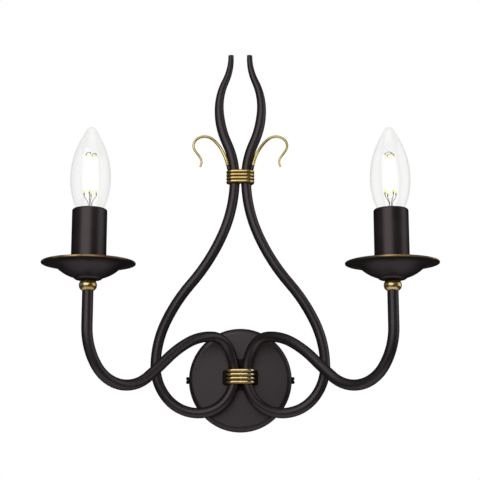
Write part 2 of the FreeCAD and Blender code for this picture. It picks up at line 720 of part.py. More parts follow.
def make_bead():
    half = BEAD_FLAT_D / 2
    round_edge = Part.Arc(flat(half, 0), flat(BEAD_D / 2, BEAD_HEIGHT / 2), flat(half, BEAD_HEIGHT)).toShape()
    barrel = chords([round_edge], BEAD_BANDS)
    bead = spun(lines(barrel + [(0, BEAD_HEIGHT), (0, 0), (half, 0)]), z=STEM_TOP_Z)
    return bead.cut(cylinder(NIPPLE_D / 2 + RUNNING_GAP, BEAD_HEIGHT, 0, 0, STEM_TOP_Z))


def swept(points, heading, offset=0.0):
    """Arcs through points (radius, height), each starting in the last one's direction.

    offset moves the whole chain square to itself, to the left. Also tells where the chain starts and ends.
    """
    edges = []
    places = []
    for first, second in zip(points, points[1:]):
        chord = math.degrees(math.atan2(second[1] - first[1], second[0] - first[0]))
        leaving = 2 * chord - heading
        ends = []
        for point, angle in ((first, heading), (second, leaving)):
            run, rise = turned(angle)
            ends.append((point[0] - rise * offset, point[1] + run * offset))
        start, end = (flat(*at) for at in ends)
        run, rise = turned(heading)
        half = (end - start).Length / 2 / math.cos(math.radians(chord - heading))
        edges.append(arc_edge(start, start + flat(run, rise) * half, end))
        places += ends
        heading = leaving
    return edges, places[0], places[-1]


PAN_BOWL = [(PAN_FOOT_D / 2, PAN_FOOT_H), (PAN_BOWL_D / 2, PAN_BOWL_H), (PAN_BRIM_D / 2, PAN_BRIM_H)]
PAN_BOWL_TOP = swept(PAN_BOWL, PAN_BOWL_SLOPE, PAN_WALL)


def make_pan():
    """Spun drip pan: flat foot, bowl, flared brim with a rolled edge."""
    foot, _, _ = swept([(PAN_FLOOR_D / 2, 0), PAN_BOWL[0]], 0)
    under, _, _ = swept(PAN_BOWL, PAN_BOWL_SLOPE)
    top, spring, brim = PAN_BOWL_TOP
    rim = ((PAN_D - PAN_EDGE_D) / 2, PAN_RIM_H)
    rim_top = (rim[0], PAN_RIM_H + PAN_WALL)
    sheet = spun(foot + under + top
                 + lines([PAN_BOWL[-1], rim, rim_top, brim])
                 + lines([spring, (PAN_FLOOR_D / 2, PAN_WALL), (0, PAN_WALL), (0, 0), (PAN_FLOOR_D / 2, 0)]))
    edge = []
    for i in range(PAN_EDGE_SIDES + 1):
        run, rise = turned(360 * (i + 0.5) / PAN_EDGE_SIDES)
        edge.append((rim[0] + run * PAN_EDGE_D / 2, PAN_RIM_H + PAN_WALL / 2 + rise * PAN_EDGE_D / 2))
    pan = sheet.fuse(spun(lines(edge)))
    pan = pan.cut(cylinder(NIPPLE_D / 2 + RUNNING_GAP, PAN_WALL, 0, 0, 0))
    pan.translate(Vector(0, 0, PAN_Z))
    return pan


def sleeve_foot():
    """Height at which the sleeve's outer edge stands on the bowl of the pan."""
    bowl = PAN_BOWL_TOP[0][0]
    touch = bowl.valueAt(crossing(bowl, lambda at: at.x >= SLEEVE_D / 2))
    return PAN_Z + touch.z + RUNNING_GAP


def make_nipple():
    foot = STEM_TOP_Z - NIPPLE_GRIP
    top = PAN_FLOOR_Z + STRAP_THICK + NUT_HEIGHT + NIPPLE_PROUD
    return ring(NIPPLE_D / 2, NIPPLE_BORE_D / 2, top - foot, 0, 0, foot)


def make_locknut():
    """Hexagon nut that clamps strap, pan and bead to the stem."""
    z = PAN_FLOOR_Z + STRAP_THICK
    corner = NUT_AF / 2 / math.cos(math.radians(30))
    points = [Vector(corner * turned(60 * i)[0], corner * turned(60 * i)[1], z) for i in range(7)]
    nut = Part.Face(Part.makePolygon(points)).extrude(UP * NUT_HEIGHT)
    return nut.cut(cylinder(NIPPLE_D / 2 + RUNNING_GAP, NUT_HEIGHT, 0, 0, z))


def make_strap():
    """Closed stirrup of steel strip between the nipple and the lampholder."""
    half, width = STRAP_SPAN / 2, STRAP_WIDTH / 2
    outer = block(-half, half, -width, width, PAN_FLOOR_Z, STRAP_TOP_Z)
    inner = block(-half + STRAP_THICK, half - STRAP_THICK, -width, width,
                  PAN_FLOOR_Z + STRAP_THICK, STRAP_TOP_Z - STRAP_THICK)
    lower_hole = cylinder(NIPPLE_D / 2 + RUNNING_GAP, STRAP_THICK, 0, 0, PAN_FLOOR_Z)
    upper_hole = cylinder(HOLDER_SPIGOT_D / 2 + RUNNING_GAP, STRAP_THICK, 0, 0, STRAP_TOP_Z - STRAP_THICK)
    return outer.cut([inner, lower_hole, upper_hole])


def make_holder():
    """Moulded lampholder: body, sleeve collar at its head, spigot through the strap."""
    top = STRAP_TOP_Z + HOLDER_HEIGHT
    body = cylinder(HOLDER_D / 2, HOLDER_HEIGHT, 0, 0, STRAP_TOP_Z)
    collar = cylinder(HOLDER_COLLAR_D / 2, HOLDER_COLLAR_H, 0, 0, top - HOLDER_COLLAR_H)
    spigot = cylinder(HOLDER_SPIGOT_D / 2, HOLDER_SPIGOT_H, 0, 0, STRAP_TOP_Z - HOLDER_SPIGOT_H)
    cavity_r = SHELL_BORE_R + SHELL_WALL + RUNNING_GAP
    return body.fuse([collar, spigot]).cut([cylinder(cavity_r, HOLDER_HEIGHT, 0, 0, SHELL_Z),
                                           cylinder(HOLDER_BORE_D / 2, HOLDER_HEIGHT, 0, 0,
                                                    STRAP_TOP_Z - HOLDER_SPIGOT_H)])


def make_shell():
    return ring(SHELL_BORE_R + SHELL_WALL, SHELL_BORE_R, SHELL_HEIGHT, 0, 0, SHELL_Z)


def make_spring():
    """Centre contact: a strip on the holder's floor whose end is bent up and back over the middle."""
    half, t, top = SPRING_LENGTH / 2, SPRING_THICK, SPRING_THICK + SPRING_RISE
    outline = [(-half, 0), (half, 0), (half, t), (half - t, t), (TIP_CONTACT_D / 2, top),
               (-TIP_CONTACT_D / 2, top), (-TIP_CONTACT_D / 2, top - t), (TIP_CONTACT_D / 2 - t, top - t),
               (half - 2 * t, t), (-half, t), (-half, 0)]
    strip = Part.Face(Part.makePolygon([flat(x, z) for x, z in outline]))
    strip.translate(Vector(0, -SPRING_WIDTH / 2, SHELL_Z))
    return strip.extrude(Vector(0, SPRING_WIDTH, 0))


def make_sleeve():
    """Candle sleeve, open at both ends, its top edge turned in."""
    outer, inner = SLEEVE_D / 2, SLEEVE_D / 2 - SLEEVE_WALL
    foot, top = sleeve_foot(), PAN_Z + SLEEVE_TOP
    lip, shoulder = outer - SLEEVE_EDGE_R, top - SLEEVE_EDGE_R
    under = top - SLEEVE_WALL
    return spun(lines([(lip, top), (lip, under)])
                + [arc_edge(flat(lip, under), flat(inner, under), flat(inner, shoulder))]
                + lines([(inner, shoulder), (inner, foot), (outer, foot), (outer, shoulder)])
                + [arc_edge(flat(outer, shoulder), flat(outer, top), flat(lip, top))])


# ---------------------------------------------------------------- bulb
def make_cap():
    """Bulb cap: closed foot, straight screw part, flared collar for the glass."""
    screw, collar = CAP_D / 2, CAP_COLLAR_D / 2
    flare, top = CAP_HEIGHT + CAP_FLARE_H, CAP_HEIGHT + CAP_COLLAR_H
    return spun(lines([(0, 0), (screw, 0), (screw, CAP_HEIGHT), (collar, flare), (collar, top),
                       (collar - CAP_WALL, top), (collar - CAP_WALL, flare),
                       (screw - CAP_WALL, CAP_HEIGHT), (screw - CAP_WALL, CAP_WALL), (0, CAP_WALL), (0, 0)]),
                z=CAP_Z)


def make_insulator():
    foot, head = TIP_CONTACT_D / 2, INSULATOR_D / 2
    outline = [(0, 0), (foot, 0), (head, INSULATOR_H), (0, INSULATOR_H), (0, 0)]
    return spun(lines(outline), z=CAP_Z - INSULATOR_H)


def make_tip_contact():
    return cylinder(TIP_CONTACT_D / 2, TIP_CONTACT_H, 0, 0, CAP_Z - INSULATOR_H - TIP_CONTACT_H)


def make_glass():
    """Clear candle-shaped envelope, one wall thick, open at the neck."""
    points = [(GLASS_NECK_D / 2, 0), (GLASS_THROAT_D / 2, GLASS_THROAT_H), (GLASS_D / 2, GLASS_WIDEST_H),
              (GLASS_FLANK_D / 2, GLASS_FLANK_H), (GLASS_CROWN_D / 2, GLASS_CROWN_H), (0, GLASS_HEIGHT)]
    outside = chords(swept(points, GLASS_NECK_SLOPE)[0], GLASS_BANDS)
    inside = chords(swept(points, GLASS_NECK_SLOPE, GLASS_WALL)[0], GLASS_BANDS // 2)
    inside[0] = (inside[0][0], 0)
    inside[-1] = (0, GLASS_HEIGHT - GLASS_WALL)
    outside[-1] = (0, GLASS_HEIGHT)
    return spun(lines(outside + inside[::-1] + outside[:1]), z=GLASS_Z)


def filament_ends():
    """Lower and upper end of each filament."""
    ends = []
    for i in range(FILAMENT_COUNT):
        run, rise = turned(360 * (i + 0.5) / FILAMENT_COUNT)
        foot = Vector(FILAMENT_FOOT_R * run, FILAMENT_FOOT_R * rise, GLASS_Z + FILAMENT_LIFT)
        head = Vector(FILAMENT_HEAD_R * run, FILAMENT_HEAD_R * rise, GLASS_Z + FILAMENT_LIFT + FILAMENT_RISE)
        ends.append((foot, head))
    return ends


def bar(start, end, radius):
    return Part.makeCylinder(radius, (end - start).Length, start, end - start)


def make_filaments():
    return Part.makeCompound([bar(foot, head, FILAMENT_D / 2) for foot, head in filament_ends()])


def make_mount():
    """Glass mount with the wires that carry the filaments, and the two wires that join them at the top."""
    stem, flare = MOUNT_D / 2, MOUNT_FLARE_D / 2
    pinch = MOUNT_HEIGHT / 3
    outline = [(flare, 0), (stem, pinch), (stem, MOUNT_HEIGHT), (0, MOUNT_HEIGHT), (0, 0), (flare, 0)]
    mount = spun(lines(outline), z=GLASS_Z)
    wires = []
    for foot, head in filament_ends():
        out = Vector(foot.x, foot.y, 0).normalize()
        start = out * MOUNT_WIRE_R + UP * (GLASS_Z + MOUNT_HEIGHT - 2 * SUPPORT_D)
        wires.append(bar(start, foot - UP * (SUPPORT_D / 2 + SEAT_GAP), SUPPORT_D / 2))
    mount = mount.fuse(wires)
    lift = UP * (SUPPORT_D / 2 + SEAT_GAP)
    heads = [head + lift for _, head in filament_ends()]
    links = [bar(heads[i], heads[i + 1], SUPPORT_D / 2) for i in range(0, FILAMENT_COUNT, 2)]
    return Part.makeCompound([mount] + links)


# ---------------------------------------------------------------- export
PARTS = {
    "wall_rose": make_rose(),
    "wall_bracket": make_bracket(),
    "rose_side_screws": make_side_screws(),
    "arm_hub": make_hub(),
    "hub_screws": make_hub_screws(),
    "earth_screw": make_earth_screw(),
    "terminal_block": make_terminal_block(),
    "terminal_screw": make_terminal_screw(),
    "terminal_clamp_screws": make_clamp_screws(),
    "lower_wire_binding": make_binding("lower_wire_binding", LOWER_BIND_Z, LOWER_SLACK),
    "upper_wire_binding": make_binding("upper_wire_binding", UPPER_BIND_Z, UPPER_SLACK),
}
SIDES = {
    "arm": make_arm(),
    "curl": make_curl(),
    "lamp_lead": make_lead(),
    "bead": on_stem(make_bead()),
    "drip_pan": on_stem(make_pan()),
    "nipple": on_stem(make_nipple()),
    "locknut": on_stem(make_locknut()),
    "lampholder_bracket": on_stem(make_strap()),
    "lampholder_body": on_stem(make_holder()),
    "screw_shell": on_stem(make_shell()),
    "centre_contact": on_stem(make_spring()),
    "candle_sleeve": on_stem(make_sleeve()),
    "bulb_cap": on_stem(make_cap()),
    "bulb_insulator": on_stem(make_insulator()),
    "bulb_contact": on_stem(make_tip_contact()),
    "bulb_glass": on_stem(make_glass()),
    "bulb_mount": on_stem(make_mount()),
    "bulb_filaments": on_stem(make_filaments()),
}
for name, solid in SIDES.items():
    PARTS["right_" + name] = solid
    PARTS["left_" + name] = mirrored(solid)

os.makedirs("parts", exist_ok=True)
for name, solid in PARTS.items():
    solid.exportStep("parts/" + name + ".step")
    print(name, "solids", len(solid.Solids), "valid", solid.isValid(), "volume", round(solid.Volume, 1))
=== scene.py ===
"""Looks of the double arm wall sconce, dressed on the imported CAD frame.

Metres, +Z up. The wall is the plane y = 0 and the room is on the -Y side. Outlines are written in
millimetres, as the part's own sizes are, and are scaled by MM where a mesh is made. Colours are linear.
"""

import json
import math

import bpy
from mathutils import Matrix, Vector


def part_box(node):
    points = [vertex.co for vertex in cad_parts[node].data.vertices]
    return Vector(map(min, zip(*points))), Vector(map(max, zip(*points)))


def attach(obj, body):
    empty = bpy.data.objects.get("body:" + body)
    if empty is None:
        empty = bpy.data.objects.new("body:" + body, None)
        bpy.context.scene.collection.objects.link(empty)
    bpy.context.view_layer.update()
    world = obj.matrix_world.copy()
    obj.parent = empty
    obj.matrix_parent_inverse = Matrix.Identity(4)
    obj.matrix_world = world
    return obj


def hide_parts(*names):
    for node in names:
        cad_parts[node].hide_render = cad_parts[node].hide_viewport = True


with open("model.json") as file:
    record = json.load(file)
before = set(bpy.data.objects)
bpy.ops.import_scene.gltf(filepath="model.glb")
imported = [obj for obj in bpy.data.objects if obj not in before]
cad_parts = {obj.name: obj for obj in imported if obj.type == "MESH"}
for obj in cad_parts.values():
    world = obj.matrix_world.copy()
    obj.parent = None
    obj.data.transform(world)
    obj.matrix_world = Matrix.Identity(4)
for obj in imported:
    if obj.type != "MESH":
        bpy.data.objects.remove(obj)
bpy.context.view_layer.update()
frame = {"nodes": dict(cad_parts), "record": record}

MM = 0.001
NODES = frame["nodes"]
SIDES = ("left", "right")

# ---------------------------------------------------------------- camera, as the photograph was taken
IMAGE_SIDE = 480.0
FOCAL_PX = 1145.0               # focal length in pixels of that image
CENTRE_U = 240.35               # column of the optical axis
SENSOR = 36.0                   # millimetres
TARGET = Vector((0.0, 0.0, 0.14185))
DISTANCE = 1.156
ELEVATION = -10.75              # degrees; the camera looks up from below


def add_camera():
    data = bpy.data.cameras.new("camera")
    data.sensor_width = SENSOR
    data.lens = FOCAL_PX / IMAGE_SIDE * SENSOR
    data.shift_x = (IMAGE_SIDE / 2 - CENTRE_U) / IMAGE_SIDE
    camera = bpy.data.objects.new("camera", data)
    tilt = math.radians(ELEVATION)
    offset = Vector((0.0, -math.cos(tilt), math.sin(tilt))) * DISTANCE
    camera.location = TARGET + offset
    camera.rotation_euler = (-offset).to_track_quat("-Z", "Y").to_euler()
    bpy.context.scene.collection.objects.link(camera)
    bpy.context.scene.camera = camera


# ---------------------------------------------------------------- node helpers
MIX_NUMBERS = slice(2, 4)       # the mix node's sockets for two numbers
MIX_COLOURS = slice(6, 8)       # and for two colours
MIX_COLOUR_RESULT = 2
MARK = "mark"                   # mesh attribute; each material says what it stands for: rubbed-through paint on a pan, painted shade in a binding's hollows, and a filament's ends
NOISE_MIDDLE = (0.3, 0.7)       # most of a noise's values lie between these


def add_node(tree, kind, **inputs):
    node = tree.nodes.new(kind)
    for key, value in inputs.items():
        node.inputs[key.replace("_", " ")].default_value = value
    return node


def feed(tree, socket, value):
    """Set a socket to a number or link it to another socket."""
    if isinstance(value, bpy.types.NodeSocket):
        tree.links.new(value, socket)
    else:
        socket.default_value = value


def calculated(tree, operation, first, second):
    """One step of arithmetic on two numbers."""
    node = tree.nodes.new("ShaderNodeMath")
    node.operation = operation
    feed(tree, node.inputs[0], first)
    feed(tree, node.inputs[1], second)
    return node.outputs[0]


def span(tree, value, low, high, to_low=0.0, to_high=1.0):
    """Number that goes from to_low to to_high while value goes from low to high."""
    node = add_node(tree, "ShaderNodeMapRange", From_Min=low, From_Max=high, To_Max=to_high)
    tree.links.new(value, node.inputs["Value"])
    feed(tree, node.inputs["To Min"], to_low)
    return node.outputs[0]


def blended(tree, factor, first, second):
    """Mix of two numbers."""
    node = tree.nodes.new("ShaderNodeMix")
    for socket, value in zip(node.inputs[:1] + node.inputs[MIX_NUMBERS], (factor, first, second)):
        feed(tree, socket, value)
    return node.outputs[0]


def mixed(tree, factor, first, second):
    """Mix of two colours."""
    node = tree.nodes.new("ShaderNodeMix")
    node.data_type = "RGBA"
    for socket, value in zip(node.inputs[:1] + node.inputs[MIX_COLOURS], (factor, first, second)):
        feed(tree, socket, (*value, 1.0) if isinstance(value, tuple) else value)
    return node.outputs[MIX_COLOUR_RESULT]


def axes_of(tree, vector):
    """The three numbers of a vector, as the outputs X, Y and Z."""
    axes = tree.nodes.new("ShaderNodeSeparateXYZ")
    tree.links.new(vector, axes.inputs[0])
    return axes.outputs


def mark_share(tree):
    node = tree.nodes.new("ShaderNodeAttribute")
    node.attribute_name = MARK
    return node.outputs["Fac"]


def object_noise(tree, scale, detail=3.0):
    """Noise in the part's own space; scale is in cycles per metre."""
    place = tree.nodes.new("ShaderNodeTexCoord")
    noise = add_node(tree, "ShaderNodeTexNoise", Scale=scale, Detail=detail, Roughness=0.5)
    tree.links.new(place.outputs["Object"], noise.inputs["Vector"])
    return noise.outputs["Fac"]


def ramp(tree, value, stops):
    """Colour ramp; stops are (position, colour)."""
    node = tree.nodes.new("ShaderNodeValToRGB")
    elements = node.color_ramp.elements
    while len(elements) < len(stops):
        elements.new(0.5)
    for element, (position, colour) in zip(elements, stops):
        element.position = position
        element.color = (*colour, 1.0)
    tree.links.new(value, node.inputs["Fac"])
    return node.outputs["Color"]


def two_tones(tree, noise, dark, light, low=0.35, high=0.65):
    """Colour that goes from dark to light while the noise goes from low to high."""
    return ramp(tree, noise, ((low, dark), (high, light)))


def vary_roughness(tree, shader, noise, roughness, variation):
    """Roughness that the noise moves from its value plus the first variation to plus the second."""
    least, most = (roughness + change for change in variation)
    tree.links.new(span(tree, noise, *NOISE_MIDDLE, least, most), shader.inputs["Roughness"])


def add_bump(tree, shader, height, strength, distance):
    bump = add_node(tree, "ShaderNodeBump", Strength=strength, Distance=distance)
    tree.links.new(height, bump.inputs["Height"])
    tree.links.new(bump.outputs[0], shader.inputs["Normal"])


# ---------------------------------------------------------------- light
WHITE = (1.0, 1.0, 1.0, 1.0)
AMBIENT = 0.50                  # world light on matt surfaces
ROOM = 0.115                    # what polished surfaces see of the room, away from the backdrop
ROOM_BELOW = 0.03               # and of its lower part
ROOM_FADE = (-0.25, 0.0)        # sines of the elevation between which the lower part gives way
BACKDROP_SIDE = (0.93, 0.985)   # cosines of the angle from +Y at which the backdrop starts and is full
BACKDROP_FOOT = (0.06, 0.14)    # sines of the elevation at which it starts and is full
LAMPS = (                       # name, azimuth and elevation in degrees, distance, (width, height), radiance
    ("softbox_main", -22.0, 18.0, 0.82, (0.86, 0.92), 1.5),
    ("softbox_right", 86.0, 13.0, 0.90, (0.75, 0.95), 1.05),
    ("softbox_top", 0.0, 78.0, 1.10, (0.90, 0.60), 0.7),
)
LAMP_AIM = Vector((0.0, -0.07, 0.13))


def add_world():
    """White background; matt and polished surfaces each get their own share of it."""
    world = bpy.data.worlds.new("studio")
    bpy.context.scene.world = world
    world.use_nodes = True
    tree = world.node_tree
    tree.nodes.clear()
    output = tree.nodes.new("ShaderNodeOutputWorld")
    background = add_node(tree, "ShaderNodeBackground", Color=WHITE)
    ray = tree.nodes.new("ShaderNodeLightPath").outputs
    place = tree.nodes.new("ShaderNodeTexCoord")
    axes = axes_of(tree, place.outputs["Generated"])
    room = span(tree, axes["Z"], *ROOM_FADE, ROOM_BELOW, ROOM)
    shown = calculated(tree, "MULTIPLY", span(tree, axes["Y"], *BACKDROP_SIDE),
                       span(tree, axes["Z"], *BACKDROP_FOOT))
    matt_or_gloss = blended(tree, ray["Is Glossy Ray"], AMBIENT, blended(tree, shown, room, 1.0))
    clear = calculated(tree, "MAXIMUM", ray["Is Camera Ray"], ray["Is Transmission Ray"])
    tree.links.new(blended(tree, clear, matt_or_gloss, 1.0), background.inputs["Strength"])
    tree.links.new(background.outputs[0], output.inputs["Surface"])


def add_lamps():
    for name, azimuth, elevation, distance, (width, height), radiance in LAMPS:
        data = bpy.data.lights.new(name, "AREA")
        data.shape = "RECTANGLE"
        data.size, data.size_y = width, height
        data.energy = radiance * math.pi * width * height
        lamp = bpy.data.objects.new(name, data)
        around, up = math.radians(azimuth), math.radians(elevation)
        out = Vector((math.sin(around) * math.cos(up), -math.cos(around) * math.cos(up), math.sin(up)))
        lamp.location = LAMP_AIM + out * distance
        lamp.rotation_euler = (-out).to_track_quat("-Z", "Y").to_euler()
        lamp.visible_camera = False
        bpy.context.scene.collection.objects.link(lamp)


# ---------------------------------------------------------------- materials
def new_material(name):
    material = bpy.data.materials.new(name)
    material.use_nodes = True
    tree = material.node_tree
    tree.nodes.clear()
    output = tree.nodes.new("ShaderNodeOutputMaterial")
    return material, tree, output


def principled(tree, output, **inputs):
    shader = add_node(tree, "ShaderNodeBsdfPrincipled", **inputs)
    tree.links.new(shader.outputs[0], output.inputs["Surface"])
    return shader


EDGE_GREY = (0.10, 0.09, 0.09, 1.0)     # the paint's shine fades where it is seen edge-on
PAINT_METALLIC = 0.88
PAINT_SPECULAR = 0.2
PAINT_ROUGHNESS = 0.38
PAINT_VARIATION = (-0.03, 0.04)
PAINT_CLOUD = (38.0, 4.0)               # of a noise: cycles per metre and detail
PAINT_TONES = (0.36, 0.66)              # values of the noise at the dark and the light tone
PAINT_GRAIN = (2200.0, 2.0)
PAINT_BUMP = (0.02, 0.0001)             # strength, and height in metres
PAINT_DARK = (0.0600, 0.0510, 0.0525)
PAINT_LIGHT = (0.0690, 0.0595, 0.0610)
SLEEVE_DARK = (0.0550, 0.0460, 0.0475)
SLEEVE_LIGHT = (0.0630, 0.0535, 0.0550)
BLACK_DARK = (0.009, 0.008, 0.008)
BLACK_LIGHT = (0.014, 0.012, 0.012)
RUB_DARK = (0.24, 0.12, 0.038)
RUB_LIGHT = (0.72, 0.48, 0.18)
RUB_CLOUD = (60.0, 3.0)
RUB_PATCHES = (30.0, 2.0)
RUB_FADE = (0.46, 0.56)                 # values of the noise between which a patch starts
RUB_LEAST = 0.15                        # how much gold shows between the patches


def paint(name, dark, light, roughness=PAINT_ROUGHNESS, rubbed=False):
    """Satin finish of sprayed metal: faint cloudiness and a fine grain.

    Where it is rubbed, gold shows through the paint in patches, as far as the worn attribute says.
    """
    material, tree, output = new_material(name)
    shader = principled(tree, output, Metallic=PAINT_METALLIC, Specular_Tint=EDGE_GREY,
                        Specular_IOR_Level=PAINT_SPECULAR)
    cloud = object_noise(tree, *PAINT_CLOUD)
    colour = two_tones(tree, cloud, dark, light, *PAINT_TONES)
    if rubbed:
        patches = span(tree, object_noise(tree, *RUB_PATCHES), *RUB_FADE, RUB_LEAST)
        gold = two_tones(tree, object_noise(tree, *RUB_CLOUD), RUB_DARK, RUB_LIGHT)
        colour = mixed(tree, calculated(tree, "MULTIPLY", mark_share(tree), patches), colour, gold)
    tree.links.new(colour, shader.inputs["Base Color"])
    vary_roughness(tree, shader, cloud, roughness, PAINT_VARIATION)
    add_bump(tree, shader, object_noise(tree, *PAINT_GRAIN), *PAINT_BUMP)
    return material


BRASS_PALE = (0.86, 0.69, 0.34)
BRASS_YELLOW = (0.84, 0.68, 0.22)
BRASS_BRIGHT = (0.78, 0.57, 0.22)
BRASS_MID = (0.62, 0.43, 0.125)
BRASS_OLIVE = (0.42, 0.31, 0.075)
# browns a binding's hollows as painted shade, and colours the sides that do not face the room
BRASS_DARK = (0.125, 0.068, 0.009)
BRASS_ROUGHNESS = 0.22
BRASS_VARIATION = (-0.03, 0.05)
BRASS_COAT = 0.2                        # lacquer, and its roughness
BRASS_COAT_ROUGHNESS = 0.2
BRASS_CLOUD = (60.0, 1.0)
BRASS_TONES = (0.38, 0.62)
BRASS_GRAIN = 150.0
AWAY_COLOUR_FADE = (-0.15, -0.70)         # Y of the normal where the darker colour of the sides starts to fade and is gone


def brass(name, light, dark, roughness=BRASS_ROUGHNESS, away_colour=None):
    """Aged brass with soft patches, browned with painted shade in its hollows.

    The worn attribute is high in the hollows where a binding's turns meet, and carries that painted shade. If
    a colour for the sides is given, every side that does not face the room takes it.
    """
    material, tree, output = new_material(name)
    shader = principled(tree, output, Metallic=1.0, Coat_Weight=BRASS_COAT,
                        Coat_Roughness=BRASS_COAT_ROUGHNESS)
    colour = two_tones(tree, object_noise(tree, *BRASS_CLOUD), dark, light, *BRASS_TONES)
    colour = mixed(tree, mark_share(tree), colour, BRASS_DARK)
    if away_colour:
        place = tree.nodes.new("ShaderNodeNewGeometry")
        axes = axes_of(tree, place.outputs["Normal"])
        colour = mixed(tree, span(tree, axes["Y"], *AWAY_COLOUR_FADE), away_colour, colour)
    tree.links.new(colour, shader.inputs["Base Color"])
    vary_roughness(tree, shader, object_noise(tree, BRASS_GRAIN), roughness, BRASS_VARIATION)
    return material


METAL_STREAK = (1200.0, 2.0)
METAL_DARKER = 0.82
METAL_VARIATION = (-0.06, 0.08)


def plain_metal(name, colour, roughness=0.35):
    material, tree, output = new_material(name)
    shader = principled(tree, output, Metallic=1.0)
    streak = object_noise(tree, *METAL_STREAK)
    darker = tuple(c * METAL_DARKER for c in colour)
    tree.links.new(two_tones(tree, streak, darker, colour), shader.inputs["Base Color"])
    vary_roughness(tree, shader, streak, roughness, METAL_VARIATION)
    return material


PLASTIC_CLOUD = (300.0, 3.0)
PLASTIC_DARKER = 0.88
PLASTIC_GRAIN = (3000.0, 1.0)
PLASTIC_BUMP = (0.1, 0.0001)


def plastic(name, colour, roughness=0.5):
    material, tree, output = new_material(name)
    shader = principled(tree, output, Roughness=roughness)
    cloud = object_noise(tree, *PLASTIC_CLOUD)
    darker = tuple(c * PLASTIC_DARKER for c in colour)
    tree.links.new(two_tones(tree, cloud, darker, colour), shader.inputs["Base Color"])
    add_bump(tree, shader, object_noise(tree, *PLASTIC_GRAIN), *PLASTIC_BUMP)
    return material


GLASS_BODY = (0.996, 0.996, 0.994)      # what one wall of the glass lets through, seen square on
GLASS_EDGE = (0.880, 0.890, 0.890)      # and seen edge-on
GLASS_EDGE_FROM = 0.70                  # 0 is square on, 1 is edge-on
GLASS_SHINE = ((0.05, 0.012), (0.14, 0.032), (0.70, 0.040), (1.0, 0.20))    # from square on to edge-on
GLASS_ROUGHNESS = 0.06


def clear_glass(name):
    """Thin clear glass: see-through, with a soft shine and a grey outline where it is seen edge-on."""
    material, tree, output = new_material(name)
    through = tree.nodes.new("ShaderNodeBsdfTransparent")
    edge = add_node(tree, "ShaderNodeLayerWeight", Blend=0.5)
    facing = edge.outputs["Facing"]
    seen = ramp(tree, facing, ((GLASS_EDGE_FROM, GLASS_BODY), (1.0, GLASS_EDGE)))
    tree.links.new(seen, through.inputs["Color"])
    gloss = add_node(tree, "ShaderNodeBsdfGlossy", Roughness=GLASS_ROUGHNESS)
    shine = ramp(tree, facing, [(position, (share,) * 3) for position, share in GLASS_SHINE])
    both = tree.nodes.new("ShaderNodeMixShader")
    for socket, value in zip(both.inputs, (shine, through.outputs[0], gloss.outputs[0])):
        tree.links.new(value, socket)
    tree.links.new(both.outputs[0], output.inputs["Surface"])
    return material


GLOW_LIGHT = ((0.0, (1.0, 1.0, 0.93)), (0.40, (1.0, 1.0, 0.55)), (1.0, (0.80, 0.86, 0.16)))
GLOW_BODY = ((0.0, (0.5, 0.5, 0.4)), (1.0, (0.12, 0.13, 0.02)))
GLOW_STRENGTH = 2.4                     # along the filament, and at its ends
GLOW_END_STRENGTH = 0.85
GLOW_FADE = (0.0, 0.5)                  # values of worn between which it changes


def glow(name):
    """Lit filament: white along its length and yellow-green at both ends, where worn is high."""
    material, tree, output = new_material(name)
    shader = principled(tree, output, Roughness=0.5)
    ends = mark_share(tree)
    tree.links.new(ramp(tree, ends, GLOW_BODY), shader.inputs["Base Color"])
    tree.links.new(ramp(tree, ends, GLOW_LIGHT), shader.inputs["Emission Color"])
    strength = span(tree, ends, *GLOW_FADE, GLOW_STRENGTH, GLOW_END_STRENGTH)
    tree.links.new(strength, shader.inputs["Emission Strength"])
    return material


LOOKS = (                       # name of the material, how it is made, and its values
    ("dark_paint", paint, PAINT_DARK, PAINT_LIGHT),
    ("sleeve_brown", paint, SLEEVE_DARK, SLEEVE_LIGHT, 0.36),
    ("black_paint", paint, BLACK_DARK, BLACK_LIGHT),
    ("black_screw", paint, BLACK_DARK, BLACK_LIGHT, 0.34),
    ("rim_paint", paint, PAINT_DARK, PAINT_LIGHT, PAINT_ROUGHNESS, True),
    ("aged_brass", brass, BRASS_BRIGHT, BRASS_MID),
    ("brass_plain", brass, BRASS_BRIGHT, BRASS_MID),
    # dark brown on every side that does not face the room
    ("washed_brass", brass, BRASS_PALE, BRASS_BRIGHT, BRASS_ROUGHNESS, BRASS_DARK),
    ("curl_brass", brass, BRASS_YELLOW, BRASS_OLIVE, 0.3),
    ("bead_brass", brass, BRASS_PALE, BRASS_MID, 0.25),
    ("zinc_steel", plain_metal, (0.56, 0.57, 0.58)),
    ("cap_metal", plain_metal, (0.66, 0.65, 0.62), 0.28),
    ("wire_metal", plain_metal, (0.46, 0.37, 0.28), 0.4),
    ("block_plastic", plastic, (0.78, 0.77, 0.72)),
    ("holder_plastic", plastic, (0.020, 0.018, 0.017)),
    ("insulator_glass", plastic, (0.010, 0.009, 0.014), 0.12),
    ("lead_sheath", plastic, (0.060, 0.038, 0.026), 0.45),
    ("clear_glass", clear_glass),
    ("filament_glow", glow),
)
MATERIALS = {name: made(name, *values) for name, made, *values in LOOKS}
BLACKENED = ("hub_screws",)     # their ends show black in the hub's tapped holes


def dress_nodes():
    """Every CAD node takes the material of its slot, but for those that are blackened."""
    for part in frame["record"]["subparts"]:
        node = NODES[part["node"]]
        look = "black_screw" if part["node"] in BLACKENED else part["material_slot"]
        node.data.materials.clear()
        node.data.materials.append(MATERIALS[look])


# ---------------------------------------------------------------- floor
FLOOR_Z = -0.62                 # below the picture
FLOOR_HALF = 0.8
FLOOR_WHITE = (0.85, 0.85, 0.85, 1.0)


